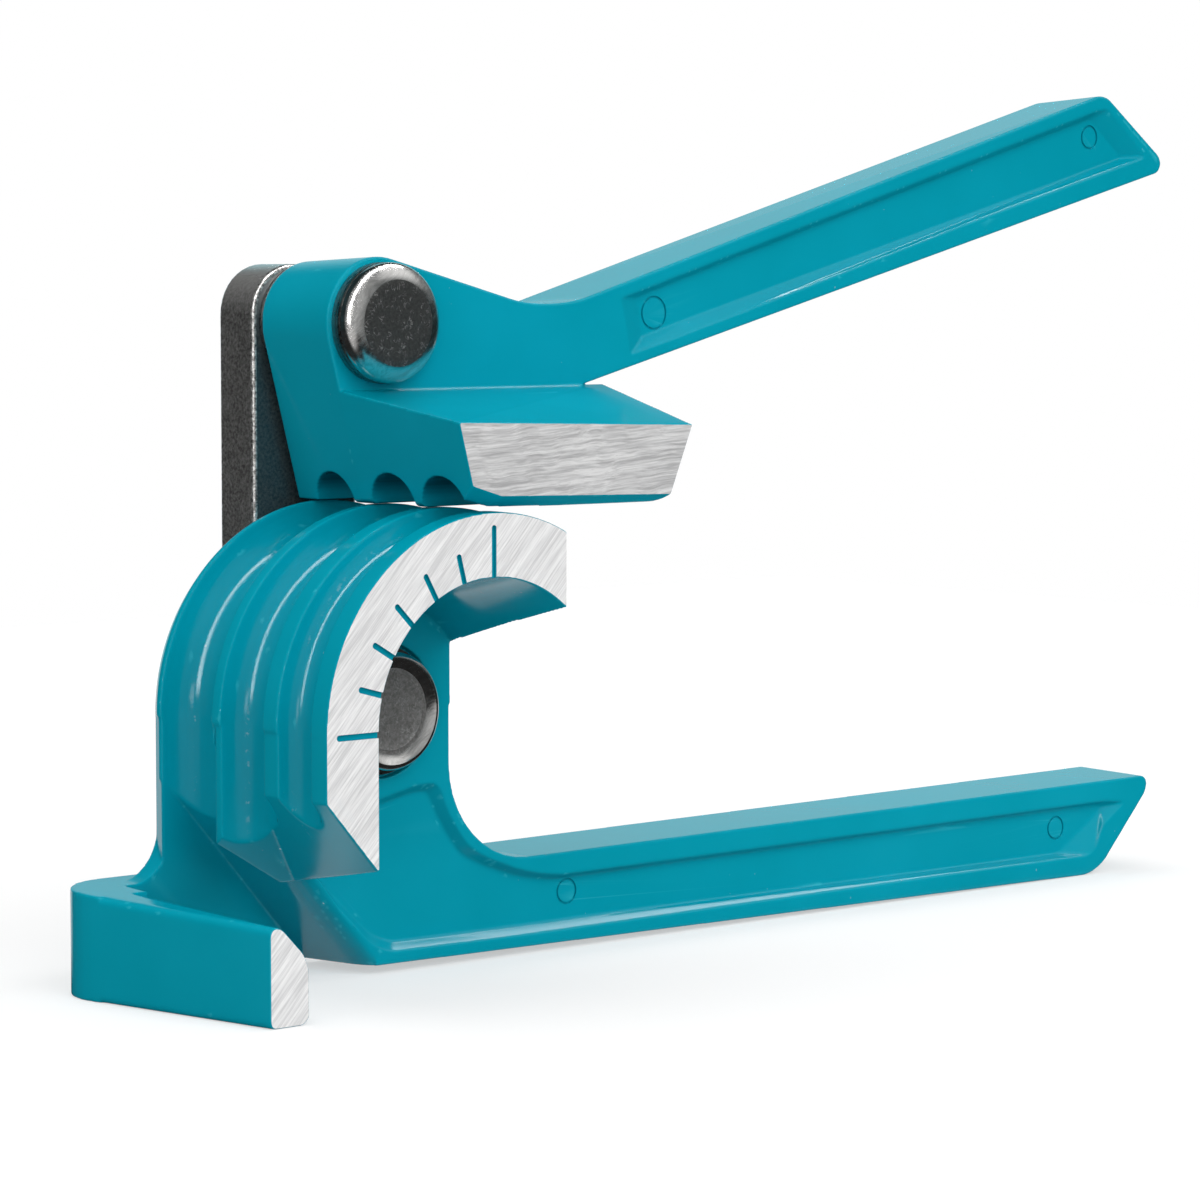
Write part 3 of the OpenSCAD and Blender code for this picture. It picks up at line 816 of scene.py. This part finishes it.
def build_streaks():
    """Fine parallel lines, such as a belt or a mill leaves, along the pattern's first axis."""
    tree, ins, outs = new_group(
        "streaks",
        [("Vector", "NodeSocketVector", None), ("Along", "NodeSocketFloat", 60.0),
         ("Across", "NodeSocketFloat", 2400.0), ("Sway", "NodeSocketFloat", 0.0)],
        [("Lines", "NodeSocketFloat")])
    sway = noise(tree, ins.outputs["Vector"], 160.0, 1.0)
    offset = math_node(tree, "MULTIPLY", sway, ins.outputs["Sway"])
    shift = node(tree, "ShaderNodeCombineXYZ", None, None, {"Z": offset, "Y": offset})
    shifted = node(tree, "ShaderNodeVectorMath", {"operation": "ADD"}, None,
                   {0: ins.outputs["Vector"], 1: shift.outputs[0]})
    scale = node(tree, "ShaderNodeCombineXYZ", None, None,
                 {"X": ins.outputs["Along"], "Y": ins.outputs["Across"],
                  "Z": ins.outputs["Across"]})
    stretched = node(tree, "ShaderNodeVectorMath", {"operation": "MULTIPLY"}, None,
                     {0: shifted.outputs[0], 1: scale.outputs[0]})
    lines = noise(tree, stretched.outputs[0], 1.0, 4.0, roughness=0.62)
    tree.links.new(lines, outs.inputs["Lines"])
    return tree


def build_specks():
    """Scattered small spots."""
    tree, ins, outs = new_group(
        "specks",
        [("Vector", "NodeSocketVector", None), ("Scale", "NodeSocketFloat", 900.0),
         ("Threshold", "NodeSocketFloat", 0.7)],
        [("Spots", "NodeSocketFloat")])
    dots = noise(tree, ins.outputs["Vector"], ins.outputs["Scale"], 2.0, roughness=0.6)
    over = math_node(tree, "SUBTRACT", dots, ins.outputs["Threshold"])
    tree.links.new(math_node(tree, "MULTIPLY", over, 18.0, True), outs.inputs["Spots"])
    return tree


def build_edge_wear():
    """Where an edge sticks out, broken up by noise. Bend is the surface's pointiness."""
    tree, ins, outs = new_group(
        "edge wear",
        [("Vector", "NodeSocketVector", None), ("Bend", "NodeSocketFloat", 0.5),
         ("From", "NodeSocketFloat", 0.55), ("To", "NodeSocketFloat", 0.7),
         ("Breakup", "NodeSocketFloat", 900.0)],
        [("Worn", "NodeSocketFloat")])
    edge = node(tree, "ShaderNodeMapRange", None, None,
                {"Value": ins.outputs["Bend"], "From Min": ins.outputs["From"],
                 "From Max": ins.outputs["To"]})
    dots = noise(tree, ins.outputs["Vector"], ins.outputs["Breakup"], 3.0, roughness=0.7)
    broken = ranged(tree, dots, 0.45, 0.62)
    tree.links.new(math_node(tree, "MULTIPLY", edge.outputs["Result"], broken, True),
                   outs.inputs["Worn"])
    return tree


STREAKS = build_streaks()
SPECKS = build_specks()
EDGE_WEAR = build_edge_wear()


def material(name, colour, metallic, roughness, specular=0.5):
    """Material with its plain values on the shader, for a pattern to be added to."""
    made = bpy.data.materials.new(name)
    made.use_nodes = True
    shader = made.node_tree.nodes["Principled BSDF"]
    shader.inputs["Base Color"].default_value = (*colour, 1)
    shader.inputs["Metallic"].default_value = metallic
    shader.inputs["Roughness"].default_value = roughness
    shader.inputs["Specular IOR Level"].default_value = specular
    return made, made.node_tree, shader


def placed(tree, angle=0.0):
    """Object coordinates, turned in the front view."""
    coordinates = tree.nodes.new("ShaderNodeTexCoord")
    if not angle:
        return coordinates.outputs["Object"]
    turn = node(tree, "ShaderNodeMapping", None, {"Rotation": (0, math.radians(angle), 0)},
                {"Vector": coordinates.outputs["Object"]})
    return turn.outputs[0]


def add_group(tree, group, values=None, links=None):
    """Places a shared effect and gives its output."""
    return node(tree, "ShaderNodeGroup", {"node_tree": group}, values, links).outputs[0]


def add_bump(tree, shader, height, distance, strength=1.0):
    """Fine relief on a material."""
    bump = node(tree, "ShaderNodeBump", None, {"Distance": distance, "Strength": strength},
                {"Height": height})
    tree.links.new(bump.outputs[0], shader.inputs["Normal"])


def build_rub_lines():
    """Specks of bare metal in lines along the former's grooves, where tubes slide."""
    tree, ins, outs = new_group(
        "rub lines",
        [("Vector", "NodeSocketVector", None), ("First", "NodeSocketFloat", 0.0),
         ("Second", "NodeSocketFloat", 0.0), ("Third", "NodeSocketFloat", 0.0),
         ("Width", "NodeSocketFloat", 0.00025)],
        [("Rubbed", "NodeSocketFloat")])
    depth = split(tree, ins.outputs["Vector"])["Y"]
    near = None
    for name in ("First", "Second", "Third"):
        away = math_node(tree, "ABSOLUTE",
                         math_node(tree, "SUBTRACT", depth, ins.outputs[name]), 0.0)
        inside = math_node(tree, "SUBTRACT", 1.0,
                           math_node(tree, "DIVIDE", away, ins.outputs["Width"]), True)
        near = inside if near is None else math_node(tree, "ADD", near, inside, True)
    dots = noise(tree, ins.outputs["Vector"], 1300.0, 2.0, roughness=0.6)
    patches = noise(tree, ins.outputs["Vector"], 120.0, 1.0)
    grains = math_node(tree, "MULTIPLY", ranged(tree, dots, 0.58, 0.68),
                       ranged(tree, patches, 0.45, 0.60))
    tree.links.new(math_node(tree, "MULTIPLY", near, grains, True), outs.inputs["Rubbed"])
    return tree


RUB_LINES = build_rub_lines()


def teal_enamel(name, rubbed=False, groove_shaded=False):
    """Glossy teal paint over the casting, a little uneven and chipped on the edges, thin on
    convex edges with a painted highlight there, with painted shade in concave hollows and, where
    asked, painted shade in the shoe's grooves.
    """
    made, tree, shader = material(name, TEAL, 0.0, 0.13, 0.24)
    vector = placed(tree)
    cloud = noise(tree, vector, 45.0, 3.0)
    tone = ranged(tree, cloud, 0.3, 0.7)
    paint = blended(tree, tone, TEAL_DEEP, TEAL_LIGHT)
    bend = tree.nodes.new("ShaderNodeNewGeometry").outputs["Pointiness"]
    # Lighter on convex edges: thinner paint, and a painted highlight line along them
    thin = math_node(tree, "MULTIPLY", ranged(tree, bend, 0.53, 0.64), 0.28)
    paint = blended(tree, thin, paint, THIN_PAINT_AND_HIGHLIGHT)
    # Painted shade: darker in concave hollows, where less light falls
    hollow_shade = math_node(tree, "MULTIPLY", ranged(tree, bend, 0.48, 0.40), 0.3)
    paint = blended(tree, hollow_shade, paint, PAINTED_HOLLOW_SHADE)
    # Painted shade on the roofs of the shoe's grooves
    if groove_shaded:
        paint = blended(tree, shoe_groove_shade(tree, vector), paint, PAINTED_GROOVE_SHADE)
    chips = add_group(tree, EDGE_WEAR, {"From": 0.62, "To": 0.74, "Breakup": 1500.0},
                      {"Vector": vector, "Bend": bend})
    spots = add_group(tree, SPECKS, {"Scale": 900.0, "Threshold": 0.76}, {"Vector": vector})
    mark = math_node(tree, "MAXIMUM", ranged(tree, chips, 0.55, 0.8),
                     math_node(tree, "MULTIPLY", spots, 0.25))
    if rubbed:
        mark = math_node(tree, "MAXIMUM", mark, groove_rubbing(tree, vector))
    paint = blended(tree, mark, paint, CHIPPED)
    tree.links.new(paint, shader.inputs["Base Color"])
    fine = noise(tree, vector, 700.0, 2.0)
    gloss = ranged(tree, cloud, 0.3, 0.7, 0.11, 0.17)
    tree.links.new(gloss, shader.inputs["Roughness"])
    height = math_node(tree, "ADD", math_node(tree, "MULTIPLY", fine, 0.25),
                       cloud)
    add_bump(tree, shader, height, 0.00006, 0.35)
    return made


def groove_rubbing(tree, vector):
    """Bare specks in the former's grooves, but not down on the leg or on the ridges' crests."""
    depths = [former_axis.y + depth * MM for depth in RUB_DEPTHS]
    rubbed = add_group(tree, RUB_LINES, dict(zip(("First", "Second", "Third"), depths)),
                       {"Vector": vector})
    place = split(tree, vector)
    left = former_axis.x + RUBBED_FROM_X * MM
    low = former_axis.z + RUBBED_FROM_Z * MM
    inside = math_node(tree, "MULTIPLY",
                       ranged(tree, place["X"], left - 0.0002, left + 0.0002),
                       ranged(tree, place["Z"], low, low + 0.003))
    return math_node(tree, "MULTIPLY", rubbed, math_node(tree, "MULTIPLY", inside, 0.32))


def shoe_groove_shade(tree, vector):
    """Painted shade on the roofs of the shoe's grooves, which face down away from the light."""
    place = split(tree, vector)
    facing = split(tree, tree.nodes.new("ShaderNodeNewGeometry").outputs["Normal"])["Z"]
    front = former_axis.y + GROOVE_SHADE_FROM_Y * MM
    top = former_axis.z + GROOVE_SHADE_BELOW_Z * MM
    inside = math_node(tree, "MULTIPLY",
                       ranged(tree, place["Y"], front, front + 0.001),
                       ranged(tree, place["Z"], top, top - 0.0005))
    hanging = ranged(tree, facing, -0.32, -0.75, 0.0, 0.8)
    return math_node(tree, "MULTIPLY", inside, hanging)


def ground_metal(name, angle, tones, along, across, sway):
    """Die-cast aluminium ground bare, with the streaks of the belt."""
    dark, light = tones
    made, tree, shader = material(name, light, 0.0, 0.42, 0.4)
    vector = placed(tree, angle)
    fine = add_group(tree, STREAKS, {"Along": along, "Across": across, "Sway": sway},
                     {"Vector": vector})
    broad = add_group(tree, STREAKS, {"Along": along * 0.6, "Across": across * 0.28,
                                      "Sway": sway}, {"Vector": vector})
    mixed = math_node(tree, "ADD", math_node(tree, "MULTIPLY", fine, 0.55),
                      math_node(tree, "MULTIPLY", broad, 0.45))
    tone = ranged(tree, mixed, 0.40, 0.60)
    colour = blended(tree, tone, dark, light)
    deep = ranged(tree, fine, 0.66, 0.72)
    colour = blended(tree, math_node(tree, "MULTIPLY", deep, 0.6), colour,
                     tuple(0.55 * part for part in dark))
    tree.links.new(colour, shader.inputs["Base Color"])
    tree.links.new(ranged(tree, broad, 0.35, 0.65, 0.34, 0.52), shader.inputs["Roughness"])
    add_bump(tree, shader, fine, 0.00004, 0.6)
    return made


def dark_link_steel():
    """Blackened bar with fine bright specks and grain, a painted teal reflection of the casting
    on its front face, and a lighter top end, rubbed and partly a painted highlight.
    """
    made, tree, shader = material("link_steel", LINK_PLAIN, 0.55, 0.4)
    vector = placed(tree)
    grain = noise(tree, vector, 2600.0, 3.0, roughness=0.7)
    tone = ranged(tree, grain, 0.35, 0.68)
    colour = blended(tree, tone, LINK_DARK, LINK_GREY)
    spots = add_group(tree, SPECKS, {"Scale": 1500.0, "Threshold": 0.72}, {"Vector": vector})
    colour = blended(tree, math_node(tree, "MULTIPLY", spots, 0.55), colour, LINK_SPECKS)
    # Painted reflection: the front face takes the teal of the casting beside it
    facing = split(tree, tree.nodes.new("ShaderNodeNewGeometry").outputs["Normal"])["Y"]
    teal_reflection = math_node(tree, "MULTIPLY", ranged(tree, facing, -0.8, -0.95), 0.6)
    colour = blended(tree, teal_reflection, colour, LINK_TEAL_REFLECTION)
    # Top end lighter and smoother: rubbed, and partly a painted highlight where its rounding
    # catches light
    rise = split(tree, vector)["Z"]
    end = former_axis.z + PIVOT_Z * MM
    rubbed = ranged(tree, rise, end + 0.001, end + 0.006)
    colour = blended(tree, math_node(tree, "MULTIPLY", rubbed, 0.6), colour, LINK_TOP_WORN_AND_SHEEN)
    tree.links.new(colour, shader.inputs["Base Color"])
    patches = noise(tree, vector, 90.0, 2.0)
    rough = ranged(tree, patches, 0.3, 0.7, 0.3, 0.5)
    tree.links.new(math_node(tree, "SUBTRACT", rough,
                             math_node(tree, "MULTIPLY", rubbed, 0.18)),
                   shader.inputs["Roughness"])
    add_bump(tree, shader, grain, 0.00005, 0.5)
    return made


def worn_steel_edge():
    """Edge of the bar where handling has polished it."""
    made, tree, shader = material("worn_steel", WORN_PLAIN, 0.8, 0.28)
    vector = placed(tree)
    grain = noise(tree, vector, 1900.0, 4.0, roughness=0.75)
    tone = ranged(tree, grain, 0.42, 0.6)
    tree.links.new(blended(tree, tone, *WORN), shader.inputs["Base Color"])
    add_bump(tree, shader, grain, 0.00004, 0.4)
    return made


def polished_steel(name, colour, roughness, wear):
    """Turned or tumbled steel with fine scuffs."""
    made, tree, shader = material(name, colour, 1.0, roughness)
    vector = placed(tree, 35)
    scuffs = add_group(tree, STREAKS, {"Along": 260.0, "Across": 1700.0, "Sway": 0.004},
                       {"Vector": vector})
    tone = ranged(tree, scuffs, 0.35, 0.62)
    tree.links.new(blended(tree, tone, tuple(part * (1 - wear) for part in colour), colour),
                   shader.inputs["Base Color"])
    tree.links.new(ranged(tree, scuffs, 0.3, 0.7, roughness * 0.8, roughness * 1.6),
                   shader.inputs["Roughness"])
    add_bump(tree, shader, scuffs, 0.00003, 0.3)
    return made


def scratched_face(name, dark, light):
    """Flat of a pin's head, dull, with curling scratches and bright specks."""
    made, tree, shader = material(name, dark, 0.5, 0.42)
    vector = placed(tree)
    curls = noise(tree, vector, 700.0, 3.0, distortion=2.2)
    line = math_node(tree, "ABSOLUTE", math_node(tree, "SUBTRACT", curls, 0.5),
                     0.0)
    curl = ranged(tree, line, 0.018, 0.0)
    gate = noise(tree, vector, 900.0, 2.0)
    curl = math_node(tree, "MULTIPLY", curl, ranged(tree, gate, 0.48, 0.62))
    grain = noise(tree, vector, 2600.0, 3.0, roughness=0.7)
    colour = blended(tree, ranged(tree, grain, 0.35, 0.7), dark,
                     tuple(part * 1.9 for part in dark))
    colour = blended(tree, math_node(tree, "MULTIPLY", curl, 0.8), colour, light)
    tree.links.new(colour, shader.inputs["Base Color"])
    add_bump(tree, shader, grain, 0.00004, 0.5)
    return made


lever_enamel = teal_enamel("teal_enamel", groove_shaded=True)
former_enamel = teal_enamel("former_enamel", rubbed=True)
ground_former = ground_metal("ground_former", 47, FORMER_GROUND, 150.0, 5200.0, 0.0)
ground_shoe = ground_metal("ground_shoe", 4, SHOE_GROUND, 130.0, 4600.0, 0.0012)
link_steel = dark_link_steel()
worn_steel = worn_steel_edge()
bright_steel = polished_steel("bright_steel", BRIGHT, 0.17, 0.3)
dull_face = scratched_face("dull_pin_face", *DULL)
grey_face = scratched_face("grey_pin_face", *GREY)
washer_steel = polished_steel("washer_steel", WASHER, 0.26, 0.4)

former_casting([former_enamel, ground_former])
lever_casting([lever_enamel, ground_shoe])
link_piece([link_steel, worn_steel])
lever_pin_piece([bright_steel, dull_face])
former_pin_piece([bright_steel, grey_face])
washer_piece("lever_head_washer", HEAD_WASHER_R, HEAD_WASHER_Y, PIVOT_Z, [washer_steel])
washer_piece("lever_thrust_washer", THRUST_WASHER_R, THRUST_WASHER_Y, PIVOT_Z, [washer_steel])
washer_piece("former_thrust_washer", THRUST_WASHER_R, THRUST_WASHER_Y, 0.0, [washer_steel])
for name in ("lever_spring_washer", "lever_tail_washer", "former_head_washer",
             "former_tail_washer"):
    washer = frame["nodes"][name].data
    washer.materials.clear()
    washer.materials.append(washer_steel)


# Floor, light and camera

FLOOR_HALF = 0.45
FLOOR_GREY = (0.5, 0.5, 0.5, 1)
FLOOR_SEEN = (0.52, 0.52, 0.52, 1)
FLOOR_GLOW = 0.50
POOL_BEHIND_X = (-0.088, -0.080)
POOL_BEHIND_Y = (-0.006, 0.004)
POOL_LEFT_X = (-0.10, -0.16)
POOL_LEFT_Y = (-0.05, -0.10)


def split_by_ray(tree, seen, glossy, lit):
    """Shader that differs for what is seen, for what gloss reflects and for what lights."""
    path = tree.nodes.new("ShaderNodeLightPath")
    straight = math_node(tree, "MAXIMUM", path.outputs["Is Camera Ray"],
                         path.outputs["Is Transmission Ray"])
    shiny = node(tree, "ShaderNodeMixShader", None, None,
                 {0: path.outputs["Is Glossy Ray"], 1: lit, 2: glossy})
    mix = node(tree, "ShaderNodeMixShader", None, None,
               {0: straight, 1: shiny.outputs[0], 2: seen})
    return mix.outputs[0]


def stage_floor():
    """White floor that keeps a soft shadow; gloss sees it dark, with two pale pools."""
    bm = bmesh.new()
    bmesh.ops.create_grid(bm, x_segments=1, y_segments=1, size=FLOOR_HALF)
    mesh = bpy.data.meshes.new("floor")
    bm.to_mesh(mesh)
    bm.free()
    floor = bpy.data.objects.new("floor", mesh)
    scene.collection.objects.link(floor)
    made = bpy.data.materials.new("floor_white")
    made.use_nodes = True
    tree = made.node_tree
    tree.nodes.clear()
    out = tree.nodes.new("ShaderNodeOutputMaterial")
    lit = node(tree, "ShaderNodeBsdfDiffuse", None, {"Color": FLOOR_GREY})
    faint = node(tree, "ShaderNodeBsdfDiffuse", None, {"Color": FLOOR_SEEN})
    glow = node(tree, "ShaderNodeEmission", None, {"Color": WHITE, "Strength": FLOOR_GLOW})
    seen = node(tree, "ShaderNodeAddShader", None, None,
                {0: faint.outputs[0], 1: glow.outputs[0]})
    place = split(tree, tree.nodes.new("ShaderNodeTexCoord").outputs["Object"])
    behind = math_node(tree, "MULTIPLY",
                       ranged(tree, place["X"], *POOL_BEHIND_X, 0, 0.75),
                       ranged(tree, place["Y"], *POOL_BEHIND_Y))
    left = math_node(tree, "MULTIPLY", ranged(tree, place["X"], *POOL_LEFT_X, 0, 0.6),
                     ranged(tree, place["Y"], *POOL_LEFT_Y))
    pool = node(tree, "ShaderNodeEmission", None, {"Color": WHITE},
                {"Strength": math_node(tree, "ADD", math_node(tree, "ADD", behind, left), 0.02)})
    by_ray = split_by_ray(tree, seen.outputs[0], pool.outputs[0], lit.outputs[0])
    tree.links.new(by_ray, out.inputs["Surface"])
    floor.data.materials.append(made)


def sun(name, towards, angle, strength, glints):
    """Soft even light from a direction, with or without a reflection of its own."""
    light = bpy.data.lights.new(name, "SUN")
    light.angle = math.radians(angle)
    light.energy = strength
    obj = bpy.data.objects.new(name, light)
    scene.collection.objects.link(obj)
    obj.rotation_euler = Vector(towards).to_track_quat("Z", "Y").to_euler()
    obj.visible_glossy = glints


FILL = 0.36
SWEEP_COLOUR = (0.55, 0.93, 1.0, 1)
SWEEP_TOWARDS = (0.643, 0.766, 0.0)
BOX_TOWARDS = (-0.55, -0.75, 0.37)
SIDE_TOWARDS = (0.60, -0.50, 0.62)
STRIP_ACROSS = (-0.411, 0.871, 0.268)
STRIP_TOWARDS = (-0.32, -0.37, 0.86)


def world_light():
    """White to the camera; for gloss, a pale sweep behind the tool, soft boxes and a strip."""
    world = bpy.data.worlds.new("studio")
    scene.world = world
    world.use_nodes = True
    tree = world.node_tree
    tree.nodes.clear()
    out = tree.nodes.new("ShaderNodeOutputWorld")
    fill = node(tree, "ShaderNodeBackground", None, {"Color": WHITE, "Strength": FILL})
    seen = node(tree, "ShaderNodeBackground", None, {"Color": WHITE, "Strength": 1.0})
    towards = tree.nodes.new("ShaderNodeTexCoord").outputs["Generated"]

    def along(direction):
        return node(tree, "ShaderNodeVectorMath", {"operation": "DOT_PRODUCT"},
                    {1: direction}, {0: towards}).outputs["Value"]

    sweep = ranged(tree, along(SWEEP_TOWARDS), 0.76, 0.92, 0.03, 0.7)
    box = ranged(tree, along(BOX_TOWARDS), 0.30, 0.85, 0.0, 0.42)
    ceiling = math_node(tree, "MULTIPLY", ranged(tree, along((0, 0, 1)), 0.10, 0.40, 0.0, 0.25),
                        ranged(tree, along((0, 1, 0)), 0.3, 0.0))
    side = ranged(tree, along(SIDE_TOWARDS), 0.88, 0.97, 0.0, 0.85)
    box = math_node(tree, "MAXIMUM", box, side)
    off_strip = math_node(tree, "ABSOLUTE", along(STRIP_ACROSS), 0.0)
    strip = math_node(tree, "MULTIPLY", ranged(tree, off_strip, 0.085, 0.03, 0.0, 20.0),
                      ranged(tree, along(STRIP_TOWARDS), 0.5, 0.6))
    rest = math_node(tree, "ADD", math_node(tree, "MAXIMUM", box, ceiling), strip)
    room = node(tree, "ShaderNodeBackground", None, {"Color": WHITE}, {"Strength": rest})
    back = node(tree, "ShaderNodeBackground", None, {"Color": SWEEP_COLOUR},
                {"Strength": sweep})
    gloss = node(tree, "ShaderNodeAddShader", None, None,
                 {0: room.outputs[0], 1: back.outputs[0]})
    by_ray = split_by_ray(tree, seen.outputs[0], gloss.outputs[0], fill.outputs[0])
    tree.links.new(by_ray, out.inputs["Surface"])


CAMERA_PLACE = (-316.66, -377.16, 53.28)
CAMERA_RIGHT = (0.74939, -0.66213, 0.0)
CAMERA_UP = (0.05175, 0.05857, 0.99694)
CAMERA_LENS = 126


def camera():
    """Camera low at the front left, looking along the handles from the hook's side."""
    data = bpy.data.cameras.new("camera")
    data.sensor_width = 36
    data.lens = CAMERA_LENS
    data.clip_start = 0.01
    obj = bpy.data.objects.new("camera", data)
    scene.collection.objects.link(obj)
    right = Vector(CAMERA_RIGHT)
    up = Vector(CAMERA_UP)
    turn = Matrix((right, up, right.cross(up))).transposed().to_4x4()
    place = TO_FRAME @ Vector(CAMERA_PLACE)
    obj.matrix_world = Matrix.Translation(place) @ turn
    scene.camera = obj


stage_floor()
world_light()
sun("key_lamp", (0.05, -0.84, 0.53), 60, 1.65, False)
sun("left_lamp", (-0.80, -0.45, 0.35), 50, 0.6, False)
sun("top_lamp", (-0.10, 0.32, 0.94), 50, 1.05, False)
sun("edge_lamp_right", (0.66, -0.06, 0.74), 12, 0.28, True)
sun("edge_lamp_left", (-0.74, -0.66, 0.06), 10, 0.12, True)
camera()
scene.view_settings.view_transform = "Standard"
